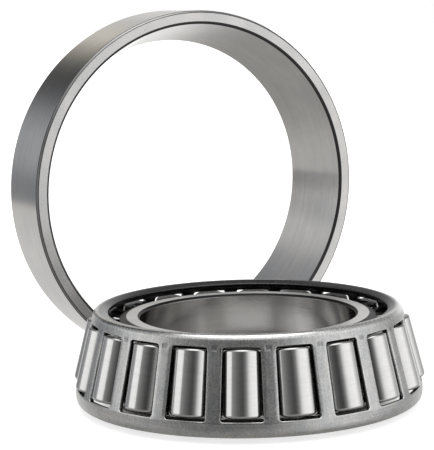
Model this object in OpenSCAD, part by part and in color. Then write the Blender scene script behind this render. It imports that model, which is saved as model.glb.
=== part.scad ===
// Single-row tapered roller bearing, 50 mm bore and 90 mm outside diameter.
// The inner ring, cage and rollers lie large end down on the table. The outer
// ring stands on its rim behind them with its wide mouth facing the rollers.
// Origin: centre of the bore at the inner ring's back face. +Z runs along the
// bore towards the rollers' small ends. +Y runs along the outer ring's axis,
// away from the rollers. Lengths in millimetres, angles in degrees.

/* [Boundary size] */
// Bore diameter of the inner ring
bore_d = 50; // [30:0.5:80]
// Outside diameter of the outer ring
outer_d = 90; // [60:0.5:130]
// Width of the inner ring, from back face to front face
inner_w = 20.75; // [12:0.1:35]
// Width of the outer ring
outer_w = 17.8; // [10:0.1:30]
// Distance between the two back faces when the bearing is together
total_w = 20.37; // [12:0.05:35]

/* [Raceways] */
// Half-angle of the outer ring's raceway
race_angle = 14.5; // [8:0.1:28]
// Radius of the outer raceway where it meets the outer ring's back face
race_back_r = 37.15; // [25:0.1:60]
// Gap left between the rollers and the inner raceway
race_gap = 0.02; // [0.01:0.005:0.05]

/* [Rollers] */
// Diameter of a roller at its large end
roller_d = 9.4; // [5:0.1:16]
// Length of a roller
roller_l = 14.5; // [8:0.1:25]
// Distance along a roller's axis from the raceways' apex to its large end
roller_reach = 163.23; // [80:0.05:300]
// Corner radius of a roller at its large end
roller_corner_big = 0.65; // [0.2:0.05:1.2]
// Corner radius of a roller at its small end
roller_corner_small = 0.5; // [0.2:0.05:1.2]
// Radius of the shallow centre recess in each end of a roller
recess_r = 1.7; // [0.8:0.1:3]
// Depth of the centre recess
recess_depth = 0.15; // [0.05:0.05:0.5]
// Turn of the first roller about the bore axis, from +X
first_roller = 4.6; // [0:0.01:18]

/* [Inner ring] */
// Outer radius of the large rib that guides the rollers
big_rib_r = 34.3; // [30:0.1:38]
// Outer radius of the small rib
small_rib_r = 29.7; // [28:0.1:32]
// Outer radius of the flat front face
front_face_r = 28.1; // [26:0.1:30]
// Gap between a roller's large end and the large rib
rib_gap = 0.1; // [0.06:0.01:0.3]
// Gap between a roller's small end and the small rib
small_rib_gap = 0.35; // [0.1:0.05:1]
// Depth of the grinding reliefs at the two ends of the inner raceway
relief = 0.3; // [0.1:0.05:0.6]

/* [Outer ring] */
// Corner of the outside at the thin front face
front_corner = 0.5; // [0.2:0.1:2]
// Corner of the outside at the thick back face
back_corner = 1.1; // [0.2:0.1:3]
// Corner between the raceway and each face
mouth_corner = 0.7; // [0.2:0.1:2]
// Distance from the bore axis to the standing outer ring's front face
stand_gap = 42.2; // [40:0.1:120]
// Sideways offset of the standing outer ring's axis
stand_offset = 10.7; // [0:0.1:30]

/* [Cage] */
// Sheet thickness
sheet = 1.2; // [0.6:0.1:2]
// Half-angle of the cage's wall
wall_angle = 14.5; // [8:0.1:28]
// Outer radius of the wall at the bottom edge of the pockets
wall_r = 40.07; // [30:0.1:50]
// Height of the pockets' bottom edge on the outer surface
pocket_low = 5.0; // [4:0.01:12]
// Length of a pocket along the wall
pocket_l = 15.74; // [8:0.01:25]
// Width of a pocket at the rollers' large end
pocket_w_low = 9.22; // [4:0.05:15]
// Width of a pocket at the rollers' small end
pocket_w_high = 8.16; // [4:0.05:15]
// Corner radius of the pockets
pocket_corner = 0.6; // [0.2:0.1:1.5]
// Height of the lower edge above the table
skirt_z = 1.3; // [1:0.1:6]
// Height of the turned-in flange's top
flange_top = 21.95; // [20:0.05:30]
// Inner radius of the turned-in flange
flange_r = 32.2; // [30:0.1:36]
// Slope of the dished flange, rising outwards
flange_rise = 22; // [0:0.5:32]
// Width of the coined mark at the top of each bar
mark_w = 1.3; // [0.5:0.1:2]

/* [Hidden] */
$fn = 96;
COUNT = 20;
// common apex of the raceways and rollers
apex_z = total_w + race_back_r / tan(race_angle);
roller_half = atan(roller_d / 2 / roller_reach);
axis_angle = race_angle - roller_half;
inner_angle = race_angle - 2 * roller_half;
roller_d_small = 2 * (roller_reach - roller_l) * tan(roller_half);
// centres of a roller's ends in the radial plane
big_c = [roller_reach * sin(axis_angle), apex_z - roller_reach * cos(axis_angle)];
small_c = big_c + roller_l * [-sin(axis_angle), cos(axis_angle)];
STEEL_RING = [0.70, 0.69, 0.68];
STEEL_ROLLER = [0.86, 0.86, 0.87];
STEEL_CAGE = [0.58, 0.58, 0.57];

// points of an arc about c from angle a0 to a1
function arc(c, r, a0, a1, n) = [for (i = [0:n]) let (a = a0 + (a1 - a0) * i / n) [c[0] + r * cos(a), c[1] + r * sin(a)]];
// point on the plane of a roller's end at radius r, moved g along the roller's axis
function end_at(c, r, g) = let (t = (r - c[0] + g * sin(axis_angle)) / cos(axis_angle))
  [r, c[1] + t * sin(axis_angle) + g * cos(axis_angle)];
// radius of the inner raceway at height z
function inner_race(z) = (apex_z - z) * tan(inner_angle) - race_gap / cos(inner_angle);

module inner_ring() {
  rib = end_at(big_c, big_rib_r, -rib_gap);
  foot = end_at(big_c, inner_race(4.3) + 0.45, -rib_gap);
  top = end_at(small_c, small_rib_r, small_rib_gap);
  heel = end_at(small_c, inner_race(18.4) + 0.1, small_rib_gap);
  r0 = bore_d / 2;
  profile = concat(
    [[r0 + 1.3, 0], [big_rib_r - 0.9, 0]],
    arc([big_rib_r - 0.9, 0.9], 0.9, -70, 0, 3),
    [[big_rib_r, rib[1] - 0.45], [big_rib_r - 0.35, end_at(big_c, big_rib_r - 0.35, -rib_gap)[1]]],
    [foot, [foot[0] - 0.5, foot[1] - 0.12], [inner_race(foot[1]) - relief, foot[1] + 0.15],
     [inner_race(foot[1] + 0.7) - relief, foot[1] + 0.7], [inner_race(foot[1] + 1.05), foot[1] + 1.05]],
    [[inner_race(heel[1] - 1.0), heel[1] - 1.0], [inner_race(heel[1] - 0.75) - relief, heel[1] - 0.75],
     [inner_race(heel[1] - 0.25) - relief, heel[1] - 0.1], [heel[0], heel[1]]],
    [[small_rib_r - 0.15, top[1] - 0.02], [small_rib_r, top[1] + 0.15], [small_rib_r, inner_w - 0.65],
     [small_rib_r - 0.25, inner_w - 0.42], [front_face_r + 0.35, inner_w - 0.08], [front_face_r, inner_w]],
    [[r0 + 0.55, inner_w], [r0 + 0.15, inner_w - 0.2], [r0, inner_w - 0.6], [r0, 1.5], [r0 + 0.35, 0.55]]);
  color(STEEL_RING) rotate_extrude() polygon(profile);
}

// outer ring about +Z, wide mouth at z = 0, then laid along +Y
module outer_ring_body() {
  ro = outer_d / 2;
  rf = race_back_r + outer_w * tan(race_angle);
  m = mouth_corner;
  profile = concat(
    [[rf + m, 0]],
    arc([ro - front_corner, front_corner], front_corner, -90, 0, 4),
    arc([ro - back_corner, outer_w - back_corner], back_corner, 0, 90, 5),
    [[race_back_r + m, outer_w],
     [race_back_r + 0.45 * m, outer_w - 0.25 * m],
     [race_back_r + m * tan(race_angle), outer_w - m],
     [rf - m * tan(race_angle), m],
     [rf + 0.25 * m, 0.3 * m]]);
  rotate_extrude() polygon(profile);
}
module outer_ring() {
  color(STEEL_RING)
    translate([stand_offset, stand_gap, outer_d / 2]) rotate([-90, 0, 0]) outer_ring_body();
}

// one roller along +Z, large end at z = 0
module roller_body() {
  rb = roller_d / 2;
  rs = roller_d_small / 2;
  cb = roller_corner_big;
  cs = roller_corner_small;
  h = roller_half;
  profile = concat(
    [[0, recess_depth], [recess_r - 0.3, recess_depth], [recess_r, 0]],
    arc([rb - cb / cos(h) - cb * tan(h), cb], cb, -90, h, 6),
    arc([rs - cs / cos(h) + cs * tan(h), roller_l - cs], cs, h, 90, 5),
    [[recess_r, roller_l], [recess_r - 0.3, roller_l - recess_depth], [0, roller_l - recess_depth]]);
  rotate_extrude($fn = 64) polygon(profile);
}
module roller(i) {
  color(STEEL_ROLLER)
    rotate([0, 0, first_roller + (i - 1) * 360 / COUNT])
      translate([big_c[0], 0, big_c[1]]) rotate([0, -axis_angle, 0]) roller_body();
}

// cage wall as a sheet profile, from the skirt to the turned-in flange
module cage_shell() {
  w = wall_angle;
  d = [-sin(w), cos(w)];
  nrm = [cos(w), sin(w)];
  a = [wall_r, pocket_low];
  // the wall's line and the flange's line meet at k; the shoulder is rounded there
  ft = flange_rise;
  kz = (flange_top + (wall_r + pocket_low * tan(w) - flange_r) * tan(ft)) / (1 + tan(w) * tan(ft));
  k = [wall_r - (kz - pocket_low) * tan(w), kz];
  rr = 1.5;
  c1 = k - rr * tan((90 - w + ft) / 2) * d - rr * nrm;
  nf = [-sin(ft), cos(ft)];
  f = [-cos(ft), -sin(ft)];
  e = [flange_r, flange_top];
  outer = concat(
    [for (p = [[-1.02, 0], [-0.52, 0.16], [-0.12, 0.6], [0.08, 1.3], [0.13, 2.1], [0.1, 2.85]]) [wall_r + p[0], skirt_z + p[1]]],
    [a - 0.35 * d, a],
    arc(c1, rr, w, 90 + ft, 9),
    [e - 0.2 * f, e - 0.2 * nf]);
  inner = concat(
    [e - (sheet - 0.2) * nf, e - sheet * nf - 0.2 * f],
    arc(c1, rr - sheet, 90 + ft, w, 4),
    [a + (pocket_l - 1.2) * d - sheet * nrm, a - sheet * nrm, a - 0.4 * d - sheet * nrm],
    [for (p = [[-1.1, 2.7], [-1.08, 2.0], [-1.14, 1.4], [-1.4, 0.8], [-1.85, 0.3], [-1.95, 0.0]]) [wall_r + p[0], skirt_z + p[1]]]);
  rotate_extrude() polygon(concat(outer, inner));
}
// one pocket outline in the plane of the wall, large end at y = 0
module pocket_outline() {
  wl = pocket_w_low / 2;
  wh = pocket_w_high / 2;
  c = pocket_corner;
  polygon(concat(
    arc([wl - c, c], c, -90, 0, 3),
    arc([wh - c, pocket_l - c], c, 0, 90, 3),
    arc([-wh + c, pocket_l - c], c, 90, 180, 3),
    arc([-wl + c, c], c, 180, 270, 3)));
}
// places children on the wall's outer surface at turn t: x across, y up the wall, z outwards
module on_wall(t) {
  w = wall_angle;
  rotate([0, 0, t])
    multmatrix([[0, -sin(w), cos(w), wall_r], [1, 0, 0, 0], [0, cos(w), sin(w), pocket_low], [0, 0, 0, 1]])
      children();
}
module roller_cage() {
  color(STEEL_CAGE) difference() {
    cage_shell();
    for (i = [0:COUNT - 1]) {
      on_wall(first_roller + i * 360 / COUNT)
        translate([0, 0, -2.4]) linear_extrude(3.6) pocket_outline();
      // coined mark at the top of each bar
      on_wall(first_roller + (i + 0.5) * 360 / COUNT)
        translate([-mark_w / 2, pocket_l - 0.7, -0.2]) cube([mark_w, 0.85, 1]);
    }
  }
}

inner_ring();
outer_ring();
roller_cage();
roller(1);  // roller_01
roller(2);  // roller_02
roller(3);  // roller_03
roller(4);  // roller_04
roller(5);  // roller_05
roller(6);  // roller_06
roller(7);  // roller_07
roller(8);  // roller_08
roller(9);  // roller_09
roller(10);  // roller_10
roller(11);  // roller_11
roller(12);  // roller_12
roller(13);  // roller_13
roller(14);  // roller_14
roller(15);  // roller_15
roller(16);  // roller_16
roller(17);  // roller_17
roller(18);  // roller_18
roller(19);  // roller_19
roller(20);  // roller_20
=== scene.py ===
import math
import bpy
import bmesh
from mathutils import Matrix, Vector


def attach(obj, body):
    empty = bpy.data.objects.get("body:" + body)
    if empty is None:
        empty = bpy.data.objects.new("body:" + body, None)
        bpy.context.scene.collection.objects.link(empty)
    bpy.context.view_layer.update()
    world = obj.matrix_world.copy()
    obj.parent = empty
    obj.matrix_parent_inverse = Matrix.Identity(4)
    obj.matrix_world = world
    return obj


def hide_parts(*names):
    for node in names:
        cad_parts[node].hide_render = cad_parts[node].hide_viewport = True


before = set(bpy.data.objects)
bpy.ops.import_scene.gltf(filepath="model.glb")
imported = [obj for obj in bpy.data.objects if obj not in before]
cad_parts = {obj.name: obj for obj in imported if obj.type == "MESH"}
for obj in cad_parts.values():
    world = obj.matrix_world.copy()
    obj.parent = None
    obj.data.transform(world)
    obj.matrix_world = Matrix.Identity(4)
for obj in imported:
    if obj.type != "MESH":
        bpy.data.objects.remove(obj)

scene = bpy.context.scene

# anything that a fresh Blender puts in by itself is taken out
for name in ("Cube", "Light", "Camera"):
    stray = bpy.data.objects.get(name)
    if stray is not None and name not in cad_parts:
        bpy.data.objects.remove(stray, do_unlink=True)
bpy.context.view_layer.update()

MM = 0.001
RAD = math.radians

# ---------------------------------------------------------------- dimensions, mm and degrees
bore_d, outer_d = 50.0, 90.0
inner_w, outer_w, total_w = 20.75, 17.8, 20.37
race_angle, race_back_r, race_gap = RAD(14.5), 37.15, 0.02
roller_d, roller_l, roller_reach = 9.4, 14.5, 163.23
corner_big, corner_small = 0.65, 0.5
recess_r, recess_depth = 1.7, 0.15
first_roller, count = RAD(4.6), 20
big_rib_r, small_rib_r, front_face_r = 34.3, 29.7, 28.1
rib_gap, small_rib_gap, relief = 0.1, 0.35, 0.3
front_corner, back_corner, mouth_corner = 0.5, 1.1, 0.7
stand_gap, stand_offset = 42.2, 10.7
sheet, wall_angle, wall_r = 1.2, RAD(14.5), 40.07
pocket_low, pocket_l, pocket_w_low, pocket_w_high, pocket_corner = 5.0, 15.74, 9.22, 8.16, 0.6
skirt_z, flange_top, flange_r = 1.3, 21.95, 32.2

apex_z = total_w + race_back_r / math.tan(race_angle)
roller_half = math.atan(roller_d / 2 / roller_reach)
axis_angle = race_angle - roller_half
inner_angle = race_angle - 2 * roller_half
SB, CB = math.sin(axis_angle), math.cos(axis_angle)
big_c = (roller_reach * SB, apex_z - roller_reach * CB)
small_c = (big_c[0] - roller_l * SB, big_c[1] + roller_l * CB)
small_r = (roller_reach - roller_l) * math.tan(roller_half)


def smooth(e0, e1, x):
    t = min(1.0, max(0.0, (x - e0) / (e1 - e0)))
    return t * t * (3 - 2 * t)


# ---------------------------------------------------------------- turned pieces
# finish and painted light of each stretch of a profile: (ground streaks, raw dark chamfer on the rings but painted
# shade on the roller ends and in the cage, polish but a painted highlight in the cage)
GROUND, FACE, RAW, POLISH = (1.0, 0.0, 0.0), (0.0, 0.0, 0.0), (0.5, 1.0, 0.0), (1.0, 0.0, 1.0)


def rounded(points, closed=True, arc_step=RAD(13)):
    """points: (r, z, fillet radius, finish and painted shade of the edge that follows).
    Returns (r, z, normal r, normal z, finish and painted shade) with every corner rounded."""
    n = len(points)
    out = []
    for i, (r, z, f, fin_painted_light) in enumerate(points):
        if not closed and i in (0, n - 1):
            j = 1 if i == 0 else -1
            q = points[i + j]
            dr, dz = (q[0] - r) * j, (q[1] - z) * j
            ln = math.hypot(dr, dz)
            out.append((r, z, dz / ln, -dr / ln, fin_painted_light if i == 0 else points[i - 1][3]))
            continue
        a, b = points[i - 1], points[(i + 1) % n]
        l1, l2 = math.hypot(r - a[0], z - a[1]), math.hypot(b[0] - r, b[1] - z)
        u1 = ((r - a[0]) / l1, (z - a[1]) / l1)
        u2 = ((b[0] - r) / l2, (b[1] - z) / l2)
        turn = math.atan2(u1[0] * u2[1] - u1[1] * u2[0], u1[0] * u2[0] + u1[1] * u2[1])
        if abs(turn) < 1e-4:
            out.append((r, z, u1[1], -u1[0], fin_painted_light))
            continue
        t = min(f * math.tan(abs(turn) / 2), 0.46 * l1, 0.46 * l2)
        rad = t / math.tan(abs(turn) / 2)
        sgn = 1 if turn > 0 else -1
        sx, sz = r - u1[0] * t, z - u1[1] * t
        cx, cz = sx - u1[1] * rad * sgn, sz + u1[0] * rad * sgn
        steps = max(2, int(math.ceil(abs(turn) / arc_step)))
        a0 = math.atan2(-u1[0], u1[1])
        for k in range(steps + 1):
            ang = a0 + turn * k / steps
            nr, nz = math.cos(ang), math.sin(ang)
            m = k / steps
            mix = tuple(points[i - 1][3][q] * (1 - m) + fin_painted_light[q] * m for q in range(3))
            out.append((cx + rad * nr * sgn, cz + rad * nz * sgn, nr, nz, mix))
    return out


def refine(profile, closed, longest):
    """adds points along straight stretches, keeping their normals"""
    out = []
    n = len(profile)
    for i in range(n):
        p = profile[i]
        out.append(p)
        if i == n - 1 and not closed:
            break
        q = profile[(i + 1) % n]
        d = math.hypot(q[0] - p[0], q[1] - p[1])
        k = int(d // longest)
        for j in range(1, k + 1):
            m = j / (k + 1)
            out.append(tuple(p[c] * (1 - m) + q[c] * m for c in range(4))
                       + (tuple(p[4][c] * (1 - m) + q[4][c] * m for c in range(3)),))
    return out


def lathe(name, points, segs, closed=True, longest=2.5):
    prof = refine(rounded(points, closed), closed, longest)
    verts, norms, lath, fin_painted_light, faces = [], [], [], [], []
    rows = []
    arc = 0.0
    for i, (r, z, nr, nz, fn_painted_light) in enumerate(prof):
        if i:
            arc += math.hypot(r - prof[i - 1][0], z - prof[i - 1][1])
        if r < 1e-6:
            rows.append([len(verts)] * segs)
            verts.append((0, 0, z * MM)); norms.append((0, 0, 1 if nz > 0 else -1))
            lath.append((0, 0, arc)); fin_painted_light.append(fn_painted_light)
            continue
        row = []
        for j in range(segs):
            a = 2 * math.pi * j / segs
            c, s = math.cos(a), math.sin(a)
            row.append(len(verts))
            verts.append((r * c * MM, r * s * MM, z * MM)); norms.append((nr * c, nr * s, nz))
            lath.append((c, s, arc)); fin_painted_light.append(fn_painted_light)
        rows.append(row)
    m = len(rows)
    for i in range(m if closed else m - 1):
        a, b = rows[i], rows[(i + 1) % m]
        for j in range(segs):
            k = (j + 1) % segs
            f = [a[j], a[k], b[k], b[j]]
            f = [v for q, v in enumerate(f) if v not in f[:q]]
            if len(f) > 2:
                faces.append(f)
    me = bpy.data.meshes.new(name)
    me.from_pydata(verts, [], faces)
    for at, data in (("lath", lath), ("finish_and_painted_light", fin_painted_light)):
        lay = me.attributes.new(at, "FLOAT_VECTOR", "POINT")
        lay.data.foreach_set("vector", [x for v in data for x in v])
    me.polygons.foreach_set("use_smooth", [True] * len(me.polygons))
    me.update()
    me.normals_split_custom_set_from_vertices(norms)
    return me


def end_at(c, r, g):
    t = (r - c[0] + g * SB) / CB
    return (r, c[1] + t * SB + g * CB)


def inner_race(z):
    return (apex_z - z) * math.tan(inner_angle) - race_gap / math.cos(inner_angle)


def add(name, me, body, nodes, mat, matrix=None):
    ob = bpy.data.objects.new(name, me)
    scene.collection.objects.link(ob)
    if not me.materials:
        me.materials.append(mat)
    if matrix is not None:
        ob.matrix_world = matrix
        bpy.context.view_layer.update()
    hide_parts(*nodes)
    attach(ob, body)
    return ob


# ---------------------------------------------------------------- node helper
class Graph:
    def __init__(self, name):
        self.mat = bpy.data.materials.new(name)
        self.mat.use_nodes = True
        self.nt = self.mat.node_tree
        self.nt.nodes.clear()
        self.out = self.nt.nodes.new("ShaderNodeOutputMaterial")
        self.bsdf = self.nt.nodes.new("ShaderNodeBsdfPrincipled")
        self.nt.links.new(self.bsdf.outputs[0], self.out.inputs[0])

    def put(self, sock, val):
        if isinstance(val, bpy.types.NodeSocket):
            self.nt.links.new(val, sock)
        elif val is not None:
            sock.default_value = val

    def math(self, op, a, b=None, c=None, clamp=False):
        n = self.nt.nodes.new("ShaderNodeMath")
        n.operation = op
        n.use_clamp = clamp
        self.put(n.inputs[0], a); self.put(n.inputs[1], b)
        if c is not None:
            self.put(n.inputs[2], c)
        return n.outputs[0]

    def vec(self, op, a, b):
        n = self.nt.nodes.new("ShaderNodeVectorMath")
        n.operation = op
        self.put(n.inputs[0], a); self.put(n.inputs[1], b)
        return n.outputs[0]

    def attr(self, name):
        n = self.nt.nodes.new("ShaderNodeAttribute")
        n.attribute_name = name
        return n.outputs["Vector"]

    def split(self, v):
        n = self.nt.nodes.new("ShaderNodeSeparateXYZ")
        self.put(n.inputs[0], v)
        return n.outputs

    def coord(self):
        return self.nt.nodes.new("ShaderNodeTexCoord").outputs["Object"]

    def noise(self, vec, scale=1.0, detail=2.0, rough=0.5):
        n = self.nt.nodes.new("ShaderNodeTexNoise")
        self.put(n.inputs["Vector"], vec)
        n.inputs["Scale"].default_value = scale
        n.inputs["Detail"].default_value = detail
        n.inputs["Roughness"].default_value = rough
        return n.outputs[0]

    def span(self, v, a0, a1, b0, b1):
        n = self.nt.nodes.new("ShaderNodeMapRange")
        self.put(n.inputs[0], v)
        for k, x in enumerate((a0, a1, b0, b1)):
            self.put(n.inputs[k + 1], x)
        return n.outputs[0]

    def mix(self, fac, a, b):
        n = self.nt.nodes.new("ShaderNodeMix")
        n.data_type = "FLOAT"
        self.put(n.inputs[0], fac); self.put(n.inputs[2], a); self.put(n.inputs[3], b)
        return n.outputs[0]

    def mixc(self, fac, a, b, blend="MIX"):
        n = self.nt.nodes.new("ShaderNodeMix")
        n.data_type = "RGBA"
        n.blend_type = blend
        self.put(n.inputs[0], fac); self.put(n.inputs[6], a); self.put(n.inputs[7], b)
        return n.outputs[2]

    def bump(self, height, strength, dist):
        n = self.nt.nodes.new("ShaderNodeBump")
        n.inputs["Strength"].default_value = strength
        n.inputs["Distance"].default_value = dist
        self.put(n.inputs["Height"], height)
        self.nt.links.new(n.outputs[0], self.bsdf.inputs["Normal"])

    def turned(self, amount):
        t = self.nt.nodes.new("ShaderNodeTangent")
        t.direction_type = "RADIAL"
        t.axis = "Z"
        self.nt.links.new(t.outputs[0], self.bsdf.inputs["Tangent"])
        self.bsdf.inputs["Anisotropic"].default_value = amount
        self.bsdf.inputs["Anisotropic Rotation"].default_value = 0.25

    def ramp(self, fac, stops):
        n = self.nt.nodes.new("ShaderNodeValToRGB")
        self.put(n.inputs[0], fac)
        el = n.color_ramp.elements
        while len(el) > 1:
            el.remove(el[0])
        el[0].position, el[0].color = stops[0][0], (*stops[0][1], 1)
        for p, c in stops[1:]:
            e = el.new(p)
            e.color = (*c, 1)
        return n.outputs[0]


def ring_steel(name="ring_steel_ground", lay_amount=0.35, honed=-0.05, raw=0.065):
    g = Graph(name)
    lath, fin_painted_light = g.attr("lath"), g.split(g.attr("finish_and_painted_light"))
    fine = g.noise(g.vec("MULTIPLY", lath, (2.6, 2.6, 7.0)), 1.0, 3.0, 0.6)
    broad = g.noise(g.vec("MULTIPLY", lath, (1.7, 1.7, 1.1)), 1.0, 2.0, 0.5)
    hair = g.noise(g.vec("MULTIPLY", lath, (9.0, 9.0, 26.0)), 1.0, 1.0, 0.5)
    obj = g.coord()
    grain = g.noise(obj, 2600.0, 3.0, 0.65)
    cloud = g.noise(obj, 120.0, 3.0, 0.55)
    spots = g.span(g.noise(obj, 900.0, 2.0, 0.5), 0.70, 0.78, 0.0, 1.0)
    streak = g.math("ADD", g.math("MULTIPLY", fine, 0.6), g.math("MULTIPLY", hair, 0.4))
    tone_s = g.math("ADD", g.span(streak, 0.3, 0.7, -0.045, 0.045), g.span(broad, 0.35, 0.65, -0.025, 0.025))
    tone_f = g.math("ADD", g.span(grain, 0.3, 0.7, -0.13, 0.13), g.span(cloud, 0.35, 0.65, -0.025, 0.025))
    tone = g.math("ADD", g.mix(fin_painted_light[0], tone_f, tone_s), g.span(cloud, 0.3, 0.7, -0.02, 0.02))
    tone = g.math("ADD", tone, 1.0)
    base = g.mixc(g.span(cloud, 0.4, 0.6, 0.0, 1.0), (0.585, 0.582, 0.580, 1), (0.615, 0.605, 0.590, 1))
    base = g.mixc(fin_painted_light[1], base, (raw, raw, raw * 1.05, 1))
    base = g.mixc(g.math("MULTIPLY", spots, 0.10), base, (0.33, 0.31, 0.28, 1))
    col = g.mixc(1.0, base, g.nt.nodes.new("ShaderNodeCombineXYZ").outputs[0], "MULTIPLY")
    comb = [n for n in g.nt.nodes if n.bl_idname == "ShaderNodeCombineXYZ"][-1]
    for k in range(3):
        g.put(comb.inputs[k], tone)
    g.put(g.bsdf.inputs["Base Color"], col)
    g.bsdf.inputs["Metallic"].default_value = 1.0
    rough_s = g.span(streak, 0.3, 0.7, 0.17, 0.23)
    rough_f = g.span(grain, 0.3, 0.7, 0.33, 0.44)
    rough = g.mix(fin_painted_light[0], rough_f, rough_s)
    rough = g.math("ADD", rough, g.math("MULTIPLY", fin_painted_light[1], 0.16))
    rough = g.math("ADD", rough, g.math("MULTIPLY", fin_painted_light[2], honed))
    g.put(g.bsdf.inputs["Roughness"], rough)
    g.turned(lay_amount)
    g.bump(g.mix(fin_painted_light[0], grain, streak), 0.16, 0.000012)
    return g.mat


def roller_steel():
    g = Graph("roller_steel_honed")
    lath, fin_painted_light = g.attr("lath"), g.split(g.attr("finish_and_painted_light"))
    fine = g.noise(g.vec("MULTIPLY", lath, (1.3, 1.3, 6.0)), 1.0, 3.0, 0.6)
    hair = g.noise(g.vec("MULTIPLY", lath, (3.0, 3.0, 22.0)), 1.0, 1.0, 0.5)
    broad = g.noise(g.vec("MULTIPLY", lath, (0.8, 0.8, 0.7)), 1.0, 2.0, 0.5)
    obj = g.coord()
    grain = g.noise(obj, 3400.0, 2.0, 0.6)
    streak = g.math("ADD", g.math("MULTIPLY", fine, 0.55), g.math("MULTIPLY", hair, 0.45))
    tone = g.math("ADD", g.span(streak, 0.3, 0.7, 0.93, 1.07), g.span(broad, 0.35, 0.65, -0.02, 0.02))
    comb = g.nt.nodes.new("ShaderNodeCombineXYZ")
    for k in range(3):
        g.put(comb.inputs[k], tone)
    # end lands and recesses are painted near black: painted shade where the ends sit under the flange
    base = g.mixc(fin_painted_light[1], (0.66, 0.655, 0.65, 1), (0.03, 0.03, 0.031, 1))
    g.put(g.bsdf.inputs["Base Color"], g.mixc(1.0, base, comb.outputs[0], "MULTIPLY"))
    g.bsdf.inputs["Metallic"].default_value = 1.0
    rough = g.mix(fin_painted_light[2], g.span(grain, 0.3, 0.7, 0.24, 0.34), g.span(streak, 0.3, 0.7, 0.13, 0.195))
    g.put(g.bsdf.inputs["Roughness"], rough)
    g.turned(0.25)
    g.bump(streak, 0.22, 0.000008)
    return g.mat


def cage_steel():
    g = Graph("cage_steel_pressed")
    lath = g.attr("lath")
    prt = g.split(lath)
    obj = g.coord()
    grain = g.noise(obj, 2500.0, 3.0, 0.65)
    mott = g.noise(obj, 420.0, 3.0, 0.6)
    cloud = g.noise(obj, 75.0, 3.0, 0.5)
    draw = g.noise(g.vec("MULTIPLY", lath, (150.0, 150.0, 0.22)), 1.0, 2.0, 0.55)
    roll = g.noise(g.vec("MULTIPLY", lath, (3.0, 3.0, 5.0)), 1.0, 2.0, 0.55)
    up = g.span(prt[2], -0.6, 0.6, 0.0, 1.0)
    streak = g.mix(up, roll, draw)
    tone = g.math("ADD", g.span(grain, 0.3, 0.7, -0.19, 0.19), g.span(mott, 0.35, 0.65, -0.045, 0.045))
    tone = g.math("ADD", tone, g.span(streak, 0.35, 0.65, -0.08, 0.08))
    tone = g.math("ADD", tone, g.span(cloud, 0.35, 0.65, 0.965, 1.035))
    comb = g.nt.nodes.new("ShaderNodeCombineXYZ")
    for k in range(3):
        g.put(comb.inputs[k], tone)
    base = g.mixc(g.span(mott, 0.4, 0.62, 0.0, 1.0), (0.455, 0.46, 0.465, 1), (0.49, 0.485, 0.475, 1))
    fin_painted_light = g.split(g.attr("finish_and_painted_light"))
    # second channel: painted shade, near black on the cage's inside face, pocket walls and dished flange, and darker
    # on the pressed marks
    base = g.mixc(fin_painted_light[1], base, (0.035, 0.035, 0.037, 1))
    # third channel: painted highlight, lighter steel on the pocket rims, coined bar edges and the shoulder band
    base = g.mixc(g.math("MULTIPLY", fin_painted_light[2], 0.8), base, (0.66, 0.66, 0.65, 1))
    g.put(g.bsdf.inputs["Base Color"], g.mixc(1.0, base, comb.outputs[0], "MULTIPLY"))
    g.bsdf.inputs["Metallic"].default_value = 1.0
    rough = g.math("ADD", g.span(grain, 0.3, 0.7, 0.26, 0.38), g.span(cloud, 0.3, 0.7, -0.03, 0.03))
    rough = g.math("SUBTRACT", rough, g.math("MULTIPLY", fin_painted_light[2], 0.10))
    g.put(g.bsdf.inputs["Roughness"], rough)
    h = g.math("ADD", g.math("MULTIPLY", grain, 0.7), g.math("MULTIPLY", streak, 0.3))
    g.bump(h, 0.45, 0.00002)
    return g.mat


mat_ring, mat_roller, mat_cage = ring_steel(), roller_steel(), cage_steel()
mat_bore = ring_steel("inner_ring_steel_ground", 0.2, -0.10, 0.022)

# ---------------------------------------------------------------- inner ring
rib = end_at(big_c, big_rib_r, -rib_gap)
foot = end_at(big_c, inner_race(4.3) + 0.45, -rib_gap)
top = end_at(small_c, small_rib_r, small_rib_gap)
heel = end_at(small_c, inner_race(18.4) + 0.1, small_rib_gap)
r0 = bore_d / 2
inner_pts = [
    (r0 + 1.3, 0.0, 0.15, FACE),
    (big_rib_r, 0.0, 0.9, GROUND),
    (big_rib_r, rib[1], 0.3, POLISH),
    (foot[0], foot[1], 0.12, RAW),
    (foot[0] - 0.5, foot[1] - 0.12, 0.12, RAW),
    (inner_race(foot[1]) - relief, foot[1] + 0.15, 0.15, RAW),
    (inner_race(foot[1] + 0.7) - relief, foot[1] + 0.7, 0.15, RAW),
    (inner_race(foot[1] + 1.05), foot[1] + 1.05, 0.12, POLISH),
    (inner_race(heel[1] - 1.0), heel[1] - 1.0, 0.1, RAW),
    (inner_race(heel[1] - 0.75) - relief, heel[1] - 0.75, 0.1, RAW),
    (inner_race(heel[1] - 0.25) - relief, heel[1] - 0.1, 0.1, GROUND),
    (heel[0], heel[1], 0.08, GROUND),
    (small_rib_r, top[1], 0.15, GROUND),
    (small_rib_r, inner_w - 0.52, 0.22, RAW),
    (front_face_r, inner_w, 0.5, FACE),
    (r0 + 0.5, inner_w, 0.12, RAW),
    (r0, inner_w - 0.6, 0.25, POLISH),
    (r0, 1.5, 0.8, RAW),
    (r0 + 0.35, 0.55, 0.6, RAW),
]
add("inner_ring_turned", lathe("inner_ring_turned", inner_pts, 288), "inner_ring", ["inner_ring"],
    mat_bore)

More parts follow.
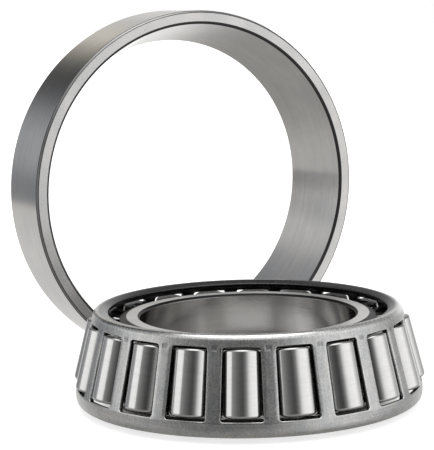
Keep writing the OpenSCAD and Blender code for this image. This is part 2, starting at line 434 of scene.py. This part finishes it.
# ---------------------------------------------------------------- outer ring
ro = outer_d / 2
rf = race_back_r + outer_w * math.tan(race_angle)
m = mouth_corner - 0.15
tan_r = math.tan(race_angle)
outer_pts = [
    (rf + m, 0.0, 0.10, FACE),
    (ro - front_corner - 0.08, 0.0, 0.05, RAW),
    (ro - front_corner + 0.08, 0.07, 0.05, (0.6, 0.62, 0.0)),
    (ro - 0.10, front_corner - 0.06, 0.05, RAW),
    (ro, front_corner + 0.12, 0.1, GROUND),
    (ro, outer_w, back_corner, FACE),
    (race_back_r + m, outer_w, 0.15, RAW),
    (race_back_r + m * tan_r, outer_w - m, 0.3, POLISH),
    (rf - m * tan_r, m, 0.15, RAW),
    (rf + 0.25 * m, 0.3 * m, 0.2, RAW),
]
lay = Matrix.Translation((stand_offset * MM, stand_gap * MM, ro * MM)) @ Matrix.Rotation(RAD(-90), 4, "X")
add("outer_ring_turned", lathe("outer_ring_turned", outer_pts, 384), "outer_ring", ["outer_ring"],
    mat_ring, lay)

# ---------------------------------------------------------------- rollers
# the rollers' end lands and recesses are painted dark: painted shade
LAND_PAINTED_DARK = (0.6, 0.85, 0.0)
roller_pts = [
    (0.0, recess_depth, 0, (0.5, 1.0, 0.0)),
    (recess_r - 0.3, recess_depth, 0.15, (0.5, 1.0, 0.0)),
    (recess_r, 0.0, 0.15, LAND_PAINTED_DARK),
    (roller_d / 2, 0.0, corner_big, POLISH),
    (small_r, roller_l, corner_small, LAND_PAINTED_DARK),
    (recess_r, roller_l, 0.15, (0.5, 1.0, 0.0)),
    (recess_r - 0.3, roller_l - recess_depth, 0.15, (0.5, 1.0, 0.0)),
    (0.0, roller_l - recess_depth, 0, LAND_PAINTED_DARK),
]
roller_mesh = lathe("roller_honed", roller_pts, 96, closed=False, longest=3.0)
for i in range(count):
    turn = first_roller + i * 2 * math.pi / count
    mw = (Matrix.Rotation(turn, 4, "Z")
          @ Matrix.Translation((big_c[0] * MM, 0, big_c[1] * MM))
          @ Matrix.Rotation(-axis_angle, 4, "Y")
          @ Matrix.Rotation(RAD(90) * ((i * 7 + i // 4) % 4), 4, "Z"))
    node = "roller_%02d" % (i + 1)
    add("honed_" + node, roller_mesh, node, [node], mat_roller, mw)

# ---------------------------------------------------------------- cage
SW, CW, TW = math.sin(wall_angle), math.cos(wall_angle), math.tan(wall_angle)
# the wall's line and the dished flange's line meet at (kr, kz); the shoulder is rounded there
bend, rise = 1.5, RAD(22)
kz = ((flange_top + (wall_r + pocket_low * TW - flange_r) * math.tan(rise)) / (1 + TW * math.tan(rise)))
kr = wall_r - (kz - pocket_low) * TW
turn_ = math.pi / 2 - wall_angle + rise
back = bend * math.tan(turn_ / 2)
c1 = (kr + back * SW - bend * CW, kz - back * CW - bend * SW)
up_s = (kz - pocket_low) / CW - back
NF = (-math.sin(rise), math.cos(rise))
knots = []
for s, o, i_ in ((-4.26, (-1.02, 0.0), (-1.95, 0.0)), (-3.73, (-0.52, 0.16), (-1.76, 0.36)),
                 (-3.14, (-0.12, 0.6), (-1.42, 0.82)), (-2.41, (0.08, 1.3), (-1.15, 1.42)),
                 (-1.61, (0.13, 2.1), (-1.08, 2.05)), (-0.86, (0.10, 2.85), (-1.09, 2.68))):
    knots.append((s, (wall_r + o[0], skirt_z + o[1]), (wall_r + i_[0], skirt_z + i_[1])))
for s in (-0.35, 0.0, 1.0, 4.0, 8.0, 12.0, 14.5, 15.6, 16.6, up_s):
    knots.append((s, (wall_r - s * SW, pocket_low + s * CW),
                  (wall_r - s * SW - sheet * CW, pocket_low + s * CW - sheet * SW)))
for k in range(1, 13):
    a = wall_angle + turn_ * k / 12
    knots.append((up_s + bend * (a - wall_angle), (c1[0] + bend * math.cos(a), c1[1] + bend * math.sin(a)),
                  (c1[0] + (bend - sheet) * math.cos(a), c1[1] + (bend - sheet) * math.sin(a))))
s_bend, p_bend = knots[-1][0], knots[-1][1]
run_ = math.hypot(p_bend[0] - flange_r, p_bend[1] - flange_top)
for k in (1, 2, 3):
    f = k / 3
    p = (p_bend[0] + (flange_r - p_bend[0]) * f, p_bend[1] + (flange_top - p_bend[1]) * f)
    knots.append((s_bend + run_ * f, p, (p[0] - sheet * NF[0], p[1] - sheet * NF[1])))
S0, S1 = knots[0][0], knots[-1][0]


def hermite(s, side):
    s = min(max(s, S0), S1)
    k = 0
    while k < len(knots) - 2 and s > knots[k + 1][0]:
        k += 1
    a, b = knots[k], knots[k + 1]
    pa, pb = knots[max(k - 1, 0)], knots[min(k + 2, len(knots) - 1)]
    h = b[0] - a[0]
    t = (s - a[0]) / h
    res = []
    for c in range(2):
        ma = (b[side][c] - pa[side][c]) / (b[0] - pa[0]) * h
        mb = (pb[side][c] - a[side][c]) / (pb[0] - a[0]) * h
        t2, t3 = t * t, t * t * t
        res.append((2 * t3 - 3 * t2 + 1) * a[side][c] + (t3 - 2 * t2 + t) * ma
                   + (-2 * t3 + 3 * t2) * b[side][c] + (t3 - t2) * mb)
    return res


def shell(phi, s, t):
    o, i_ = hermite(s, 1), hermite(s, 2)
    r, z = o[0] * (1 - t) + i_[0] * t, o[1] * (1 - t) + i_[1] * t
    return Vector((r * math.cos(phi), r * math.sin(phi), z))


def pocket_at(x, y, deep):
    """turn and place up the wall where the pocket's edge line meets the outer (0) or inner (1) face"""
    off = sheet * deep / CW
    w = -sheet * deep
    for _ in range(12):
        X = wall_r - y * SW + w * CW
        Z = y * CW + w * SW
        f = math.hypot(X, x) - (wall_r - off - Z * TW)
        w -= f / (CW + SW * TW)
    X = wall_r - y * SW + w * CW
    Z = y * CW + w * SW
    return math.atan2(x, X), (Z + sheet * deep * SW) / CW


def bar_shape(phi, s):
    """how far the face is pressed in at this spot: coined bar edges and the mark at each bar's top; also how much
    painted shade darkens the mark and how much painted highlight lightens the coined edge strips
    """
    r = hermite(s, 1)[0]
    x, y = r * math.sin(phi), s
    hw = pocket_w_low / 2 + (pocket_w_high - pocket_w_low) / 2 * y / pocket_l
    side = abs(x) - hw
    win = smooth(0.0, 1.0, y) * (1 - smooth(14.6, 15.5, y))
    edge = 0.085 * (1 - smooth(0.05, 0.72, side)) * win
    xb = r * math.sin(math.pi / count - abs(phi))
    mark = 0.06 * (1 - smooth(0.58, 0.72, xb)) * smooth(15.0, 15.12, y) * (1 - smooth(15.84, 15.96, y))
    return max(edge, mark), 0.35 * mark / 0.06, 0.3 * edge / 0.085


half = math.pi / count
c = pocket_corner
wl, wh = pocket_w_low / 2, pocket_w_high / 2
sr0, sr1 = -1.1, 16.7
NB, NCB, NCT = 16, 8, 16
side_y = [0.0, 0.35, 0.8, 1.5, 2.6, 4.0, 5.6, 7.2, 8.8, 10.4, 11.8, 12.9, 13.6, 14.0, 14.3, 14.54]
side_y = [v / 14.54 * (pocket_l - 2 * c) + c for v in side_y]


def corner_arc(cx, cy, a0, a1, n):
    return [(cx + c * math.cos(RAD(a0 + (a1 - a0) * k / n)), cy + c * math.sin(RAD(a0 + (a1 - a0) * k / n)),
             math.cos(RAD(a0 + (a1 - a0) * k / n)), math.sin(RAD(a0 + (a1 - a0) * k / n))) for k in range(n + 1)]


# outline of one pocket with the matching points on the sector's border, turning left from the bottom's middle
outline, border = [], []


def both(p, b):
    outline.append(p); border.append(b)


def phi_of(x, y):
    return pocket_at(x, y, 0)[0]


ph_low, ph_high = phi_of(wl - c, 0.0), phi_of(wh - c, pocket_l)
for k in range(NB // 2):
    x = (wl - c) * k / (NB // 2)
    both((x, 0.0, 0.0, -1.0), (phi_of(x, 0.0), sr0))
arc_pts = corner_arc(wl - c, c, -90, 0, NCB)
for k in range(NCB):
    m_ = NCB // 2
    if k <= m_:
        b = (ph_low + (half - ph_low) * k / m_, sr0)
    else:
        b = (half, sr0 + (c - sr0) * (k - m_) / m_)
    both(arc_pts[k], b)
for y in side_y[:-1]:
    f = (y - c) / (pocket_l - 2 * c)
    x = wl + (wh - wl) * f
    both((x, y, 1.0, 0.0), (half, y))
arc_pts = corner_arc(wh - c, pocket_l - c, 0, 90, NCT)
for k in range(NCT):
    m_ = NCT // 2
    if k <= m_:
        b = (half, pocket_l - c + (sr1 - pocket_l + c) * k / m_)
    else:
        b = (half + (ph_high - half) * (k - m_) / m_, sr1)
    both(arc_pts[k], b)
for k in range(NB // 2):
    x = (wh - c) * (1 - k / (NB // 2))
    both((x, pocket_l, 0.0, 1.0), (phi_of(x, pocket_l) if k else ph_high, sr1))
right = list(zip(outline, border))
left = [((-p[0], p[1], -p[2], p[3]), (-b[0], b[1])) for p, b in right[1:]]
top_mid = ((0.0, pocket_l, 0.0, 1.0), (0.0, sr1))
ring_pts = right + [top_mid] + left[::-1]
M = len(ring_pts)

EDGE = 0.13
fr_out = [1.0, 0.86, 0.72, 0.645, 0.58, 0.515, 0.42, 0.3, 0.18, 0.08, 0.0]
fr_in = [0.0, 0.12, 0.4, 0.7, 1.0]
loops = []                        # each: list of (position, lath z, finish and painted light)
outer_seed, inner_seed = [], []
for (x, y, nx, ny), (pb, sb) in ring_pts:
    outer_seed.append(pocket_at(x + EDGE * nx, y + EDGE * ny, 0))
    inner_seed.append(pocket_at(x + EDGE * nx, y + EDGE * ny, 1))


def outer_vertex(phi, s, painted_sheen=0.0):
    dep, mark_shade, strip_sheen = bar_shape(phi, s)
    p = shell(phi, s, dep / sheet)
    return (p, (phi, s), (0.0, mark_shade, max(painted_sheen, strip_sheen)))


# outer face; the row at the pocket's rim (f == 0) gets a painted highlight
for f in fr_out:
    loops.append([outer_vertex(q[0] + (b[0] - q[0]) * f, q[1] + (b[1] - q[1]) * f,
                               1.0 if f == 0.0 else 0.0)
                  for q, (_, b) in zip(outer_seed, ring_pts)])


# pocket walls: painted shade, near black on the top and bottom walls and darkening inwards on the sides; the rounded
# rim next to the outer face gets a painted highlight
def wall_loop(delta, tau, painted_sheen):
    res = []
    for (x, y, nx, ny), _ in ring_pts:
        po = pocket_at(x + delta * nx, y + delta * ny, 0)
        pi = pocket_at(x + delta * nx, y + delta * ny, 1)
        dep, _m, _s = bar_shape(*po)
        a, b = shell(po[0], po[1], dep / sheet), shell(pi[0], pi[1], 1.0)
        res.append((a.lerp(b, tau), (po[0], po[1]), (0.0, (1.0 - painted_sheen) * (1.0 if abs(ny) > 0.8 else 0.3 + 0.7 * smooth(0.3, 0.8, tau)), painted_sheen)))
    return res


for q in (30, 60, 90):
    loops.append(wall_loop(EDGE * (1 - math.sin(RAD(q))), EDGE / sheet * (1 - math.cos(RAD(q))),
                           1.0 if q < 90 else 0.3))
for tau in (0.35, 0.65):
    loops.append(wall_loop(0.0, tau, 0.0))
for q in (90, 60, 30):
    loops.append(wall_loop(EDGE * (1 - math.sin(RAD(q))), 1 - EDGE / sheet * (1 - math.cos(RAD(q))), 0.0))
# the inside face is painted near black: painted shade
for f in fr_in:
    loops.append([(shell(q[0] + (b[0] - q[0]) * f, q[1] + (b[1] - q[1]) * f, 1.0),
                   (q[0] + (b[0] - q[0]) * f, q[1] + (b[1] - q[1]) * f), (0.0, 0.85, 0.0))
                  for q, (_, b) in zip(inner_seed, ring_pts)])

low_cols = sorted({round(b[0], 9) for _, b in ring_pts if abs(b[1] - sr0) < 1e-9})
high_cols = sorted({round(b[0], 9) for _, b in ring_pts if abs(b[1] - sr1) < 1e-9})
low_rows = [(s, 0.0) for s in (sr0, -1.5, -1.9, -2.3, -2.7, -3.1, -3.45, -3.8)]
ER = 0.16
th = 0.93
low_rows += [(S0 + ER * (1 - math.sin(RAD(q))), ER / th * (1 - math.cos(RAD(q)))) for q in (0, 30, 60, 90)]
low_rows += [(S0, 0.5)]
low_rows += [(S0 + ER * (1 - math.sin(RAD(q))), 1 - ER / th * (1 - math.cos(RAD(q)))) for q in (90, 60, 30, 0)]
low_rows += [(s, 1.0) for s in (-3.7, -3.2, -2.6, -2.0, sr0)]
high_rows = [(s, 0.0) for s in (sr1, 16.95, 17.15, 17.38, 17.6, 17.82, 18.04, 18.26, 18.48, 18.7, 18.92,
                                 19.14, 19.36, 19.6, 20.0, 20.5)]
ER2 = 0.25
high_rows += [(S1 - ER2 * (1 - math.sin(RAD(q))), ER2 / sheet * (1 - math.cos(RAD(q)))) for q in (0, 22, 45, 67, 90)]
high_rows += [(S1, 0.5)]
high_rows += [(S1 - ER2 * (1 - math.sin(RAD(q))), 1 - ER2 / sheet * (1 - math.cos(RAD(q)))) for q in (90, 60, 30, 0)]
high_rows += [(s, 1.0) for s in (20.5, 20.0, 19.6, 19.25, 18.9, 18.5, 18.1, 17.7, 17.3, sr1)]

verts, lath, fin_painted_light, faces = [], [], [], []
for sec in range(count):
    rot = first_roller + sec * 2 * math.pi / count
    cr, sr = math.cos(rot), math.sin(rot)

    def push(p, ps, f):
        verts.append(((p.x * cr - p.y * sr) * MM, (p.x * sr + p.y * cr) * MM, p.z * MM))
        lath.append((math.cos(ps[0] + rot), math.sin(ps[0] + rot), ps[1]))
        fin_painted_light.append(f)
        return len(verts) - 1

    ids = [[push(*v) for v in lp] for lp in loops]
    for a, b in zip(ids, ids[1:]):
        for j in range(M):
            k = (j + 1) % M
            faces.append((a[j], a[k], b[k], b[j]))
    for cols, rows, flip in ((low_cols, low_rows, False), (high_cols, high_rows, True)):
        # the skirt's inside and the dished flange are painted near black (painted shade); a band round the outer
        # shoulder is painted lighter (painted highlight)
        g_ = [[push(shell(ph, s, t), (ph, s), (0.0, max(0.85 * smooth(0.55, 0.95, t), 0.9 * smooth(18.8, 19.6, s)),
                                              0.8 * smooth(17.0, 17.5, s) * (1 - smooth(18.5, 19.0, s)) * (1 - t)))
               for ph in cols] for s, t in rows]
        for a, b in zip(g_, g_[1:]):
            for j in range(len(cols) - 1):
                q = (a[j], a[j + 1], b[j + 1], b[j])
                faces.append(q[::-1] if not flip else q)
cage_mesh = bpy.data.meshes.new("cage_pressed")
cage_mesh.from_pydata(verts, [], faces)
for at, data in (("lath", lath), ("finish_and_painted_light", fin_painted_light)):
    lay_ = cage_mesh.attributes.new(at, "FLOAT_VECTOR", "POINT")
    lay_.data.foreach_set("vector", [x for v in data for x in v])
bm = bmesh.new()
bm.from_mesh(cage_mesh)
bmesh.ops.remove_doubles(bm, verts=bm.verts, dist=2e-6)
bmesh.ops.recalc_face_normals(bm, faces=bm.faces)
open_edges = sum(1 for e in bm.edges if len(e.link_faces) != 2)
print("cage verts", len(bm.verts), "faces", len(bm.faces), "edges not shared by two faces", open_edges)
bm.to_mesh(cage_mesh)
bm.free()
cage_mesh.polygons.foreach_set("use_smooth", [True] * len(cage_mesh.polygons))
cage_mesh.update()
cage = add("cage_pressed", cage_mesh, "roller_cage", ["roller_cage"], mat_cage)
wn = cage.modifiers.new("even_normals", "WEIGHTED_NORMAL")
wn.mode = "FACE_AREA"
wn.weight = 50

# ---------------------------------------------------------------- floor
fm = bpy.data.meshes.new("studio_floor")
bm = bmesh.new()
rings = [0.05, 0.2, 0.6, 1.6, 4.0]
center = bm.verts.new((0, 0, 0))
prev = None
for rr in rings:
    row = [bm.verts.new((rr * math.cos(2 * math.pi * j / 48), rr * math.sin(2 * math.pi * j / 48), 0)) for j in range(48)]
    for j in range(48):
        k = (j + 1) % 48
        if prev is None:
            bm.faces.new((center, row[j], row[k]))
        else:
            bm.faces.new((prev[j], row[j], row[k], prev[k]))
    prev = row
bm.to_mesh(fm)
bm.free()
floor = bpy.data.objects.new("studio_floor", fm)
scene.collection.objects.link(floor)
floor.location = (0, 0, -0.00002)
floor.visible_glossy = False
g = Graph("floor_pale")
g.put(g.bsdf.inputs["Base Color"], (0.62, 0.62, 0.62, 1))
g.bsdf.inputs["Roughness"].default_value = 0.9
g.bsdf.inputs["Specular IOR Level"].default_value = 0.1
g.bsdf.inputs["Emission Color"].default_value = (1, 1, 1, 1)
g.bsdf.inputs["Emission Strength"].default_value = 0.74
fm.materials.append(g.mat)

# ---------------------------------------------------------------- camera
YAW, PITCH, ROLL, FOC = 0.49099, -0.13662, -0.02164, 1687.91927
fw = Vector((math.sin(YAW) * math.cos(PITCH), math.cos(YAW) * math.cos(PITCH), math.sin(PITCH)))
rt = Vector((math.cos(YAW), -math.sin(YAW), 0))
upv = rt.cross(fw)
rx = rt * math.cos(ROLL) + upv * math.sin(ROLL)
ux = upv * math.cos(ROLL) - rt * math.sin(ROLL)
cam_data = bpy.data.cameras.new("studio_camera")
cam_data.sensor_fit = "AUTO"
cam_data.sensor_width = 36.0
cam_data.lens = FOC / 450.0 * 36.0
cam_data.clip_start, cam_data.clip_end = 0.01, 20.0
cam = bpy.data.objects.new("studio_camera", cam_data)
scene.collection.objects.link(cam)
mw = Matrix((rx, ux, -fw)).transposed().to_4x4()
mw.translation = Vector((-187.17366, -335.98812, 94.24322)) * MM
cam.matrix_world = mw
scene.camera = cam

# ---------------------------------------------------------------- studio light
world = bpy.data.worlds.new("studio")
scene.world = world
world.use_nodes = True
wt = world.node_tree
wt.nodes.clear()


def wn_(kind, **kw):
    n = wt.nodes.new(kind)
    for k, v in kw.items():
        setattr(n, k, v)
    return n


def wmath(op, a, b=None, clamp=False):
    n = wn_("ShaderNodeMath", operation=op, use_clamp=clamp)
    for i, v in enumerate((a, b)):
        if isinstance(v, bpy.types.NodeSocket):
            wt.links.new(v, n.inputs[i])
        elif v is not None:
            n.inputs[i].default_value = v
    return n.outputs[0]


def wramp(fac, stops):
    n = wn_("ShaderNodeValToRGB")
    wt.links.new(fac, n.inputs[0])
    el = n.color_ramp.elements
    while len(el) > 1:
        el.remove(el[0])
    el[0].position, el[0].color = stops[0][0], (*stops[0][1], 1)
    for p, col in stops[1:]:
        e = el.new(p)
        e.color = (*col, 1)
    return n.outputs[0]


def wmix(fac, a, b):
    n = wn_("ShaderNodeMix", data_type="RGBA")
    wt.links.new(fac, n.inputs[0])
    for k, v in ((6, a), (7, b)):
        if isinstance(v, bpy.types.NodeSocket):
            wt.links.new(v, n.inputs[k])
        else:
            n.inputs[k].default_value = v
    return n.outputs[2]


def wspan(v, a0, a1):
    n = wn_("ShaderNodeMapRange", interpolation_type="SMOOTHSTEP")
    wt.links.new(v, n.inputs[0])
    n.inputs[1].default_value, n.inputs[2].default_value = a0, a1
    return n.outputs[0]


tc = wn_("ShaderNodeTexCoord")
sep = wn_("ShaderNodeSeparateXYZ")
wt.links.new(tc.outputs["Generated"], sep.inputs[0])
dx, dy, dz_ = sep.outputs
# turn round the object: 0 faces the camera side, + to the camera's right, in half turns
ahead = wmath("ADD", wmath("MULTIPLY", dx, math.sin(YAW)), wmath("MULTIPLY", dy, math.cos(YAW)))
aside = wmath("SUBTRACT", wmath("MULTIPLY", dx, math.cos(YAW)), wmath("MULTIPLY", dy, math.sin(YAW)))
az = wmath("ARCTAN2", aside, wmath("MULTIPLY", ahead, -1.0))
azn = wmath("ADD", wmath("MULTIPLY", az, 0.5 / math.pi), 0.5)


def at(deg):
    return min(1.0, max(0.0, deg / 360.0 + 0.5))


def grey(v, warm=0.0):
    return (v * (1 + 0.5 * warm), v, v * (1 - warm))


# brightness round the object at five heights, darkest towards the camera and brightest behind it
def band(stops):
    return wramp(azn, [(at(a), grey(v, w[0] if w else 0.0)) for a, v, *w in stops])


right_side = [(-45, 0.24), (-30, 0.15), (-12, 0.07), (2, 0.05), (14, 0.14), (24, 0.34), (34, 0.80), (46, 1.1), (62, 1.2),
              (90, 1.28), (110, 0.82), (125, 0.52), (140, 0.6), (152, 1.1), (180, 1.55)]
sky_0 = band([(-180, 1.55), (-168, 1.45), (-160, 0.95), (-150, 0.5), (-139, 0.26, -0.05), (-126, 0.28, -0.06),
              (-108, 0.31), (-91, 0.33), (-75, 0.38), (-60, 0.33)] + right_side)
sky_1 = band([(-180, 0.85), (-168, 0.66), (-155, 0.48), (-141, 0.38, -0.05), (-128, 0.48, -0.04), (-110, 0.48, -0.02),
              (-91, 0.48), (-75, 0.46), (-60, 0.36)] + right_side)
sky_2 = band([(-180, 0.85, 0.02), (-170, 0.68, 0.05), (-162, 0.80, 0.12), (-156, 0.40, 0.12), (-150, 0.10, 0.04), (-144, 0.03),
              (-138, 0.08, -0.05), (-128, 0.36, -0.06), (-110, 0.60), (-93, 0.70, 0.01), (-80, 0.80), (-65, 0.50),
              (-50, 0.30), (-30, 0.18), (0, 0.10), (20, 0.28), (35, 0.80), (50, 1.25), (75, 1.3), (100, 0.95), (120, 0.5),
              (140, 0.35), (160, 0.5), (180, 0.85, 0.02)])
sky_3 = band([(-180, 0.28), (-160, 0.25), (-142, 0.02), (-120, 0.28, -0.05), (-105, 0.38, -0.04), (-90, 0.50), (-60, 0.95),
              (-30, 1.0), (0, 1.1), (30, 1.1), (50, 1.1), (80, 1.0), (110, 0.6), (140, 0.35), (180, 0.28)])
table_near = band([(-180, 1.0, 0.01), (-165, 0.98, 0.01), (-141, 0.90, 0.01), (-132, 0.74, 0.02), (-120, 0.60, 0.03), (-91, 0.60, 0.03),
                   (-78, 0.72), (-60, 0.46), (-40, 0.36), (-20, 0.29), (0, 0.34), (20, 0.54), (40, 1.05), (60, 1.15),
                   (80, 0.92), (100, 0.60), (120, 0.48), (140, 0.9), (180, 1.0, 0.01)])
env = wmix(wspan(dz_, -0.05, 0.09), sky_0, sky_1)
env = wmix(wspan(dz_, 0.17, 0.36), env, sky_2)
env = wmix(wspan(dz_, 0.42, 0.66), env, sky_3)
env = wmix(wspan(dz_, 0.86, 0.97), env, (3.1, 3.1, 3.07, 1))
table = wmix(wspan(dz_, -0.72, -0.25), (0.42, 0.415, 0.40, 1), table_near)
env = wmix(wspan(dz_, -0.155, -0.125), table, env)
lp = wn_("ShaderNodeLightPath")
env = wmix(lp.outputs["Is Camera Ray"], env, (1.0, 1.0, 1.0, 1))
bg = wn_("ShaderNodeBackground")
wt.links.new(env, bg.inputs[0])
bg.inputs[1].default_value = 1.0
wo = wn_("ShaderNodeOutputWorld")
wt.links.new(bg.outputs[0], wo.inputs[0])



def softbox(name, place, size_x, size_y, radiance, target=(0, 0, 10)):
    ld = bpy.data.lights.new(name, "AREA")
    ld.shape = "RECTANGLE"
    ld.size, ld.size_y = size_x * MM, size_y * MM
    ld.energy = radiance * math.pi * ld.size * ld.size_y
    ob = bpy.data.objects.new(name, ld)
    scene.collection.objects.link(ob)
    ob.location = Vector(place) * MM
    ob.rotation_euler = (Vector(target) * MM - ob.location).to_track_quat("-Z", "Y").to_euler()
    ob.visible_camera = False
    return ob


softbox("left_softbox", (-285, 85, 58), 225, 118, 0.72)

scene.view_settings.view_transform = "Standard"
scene.view_settings.look = "None"
scene.view_settings.exposure = 0.0
scene.view_settings.gamma = 1.0

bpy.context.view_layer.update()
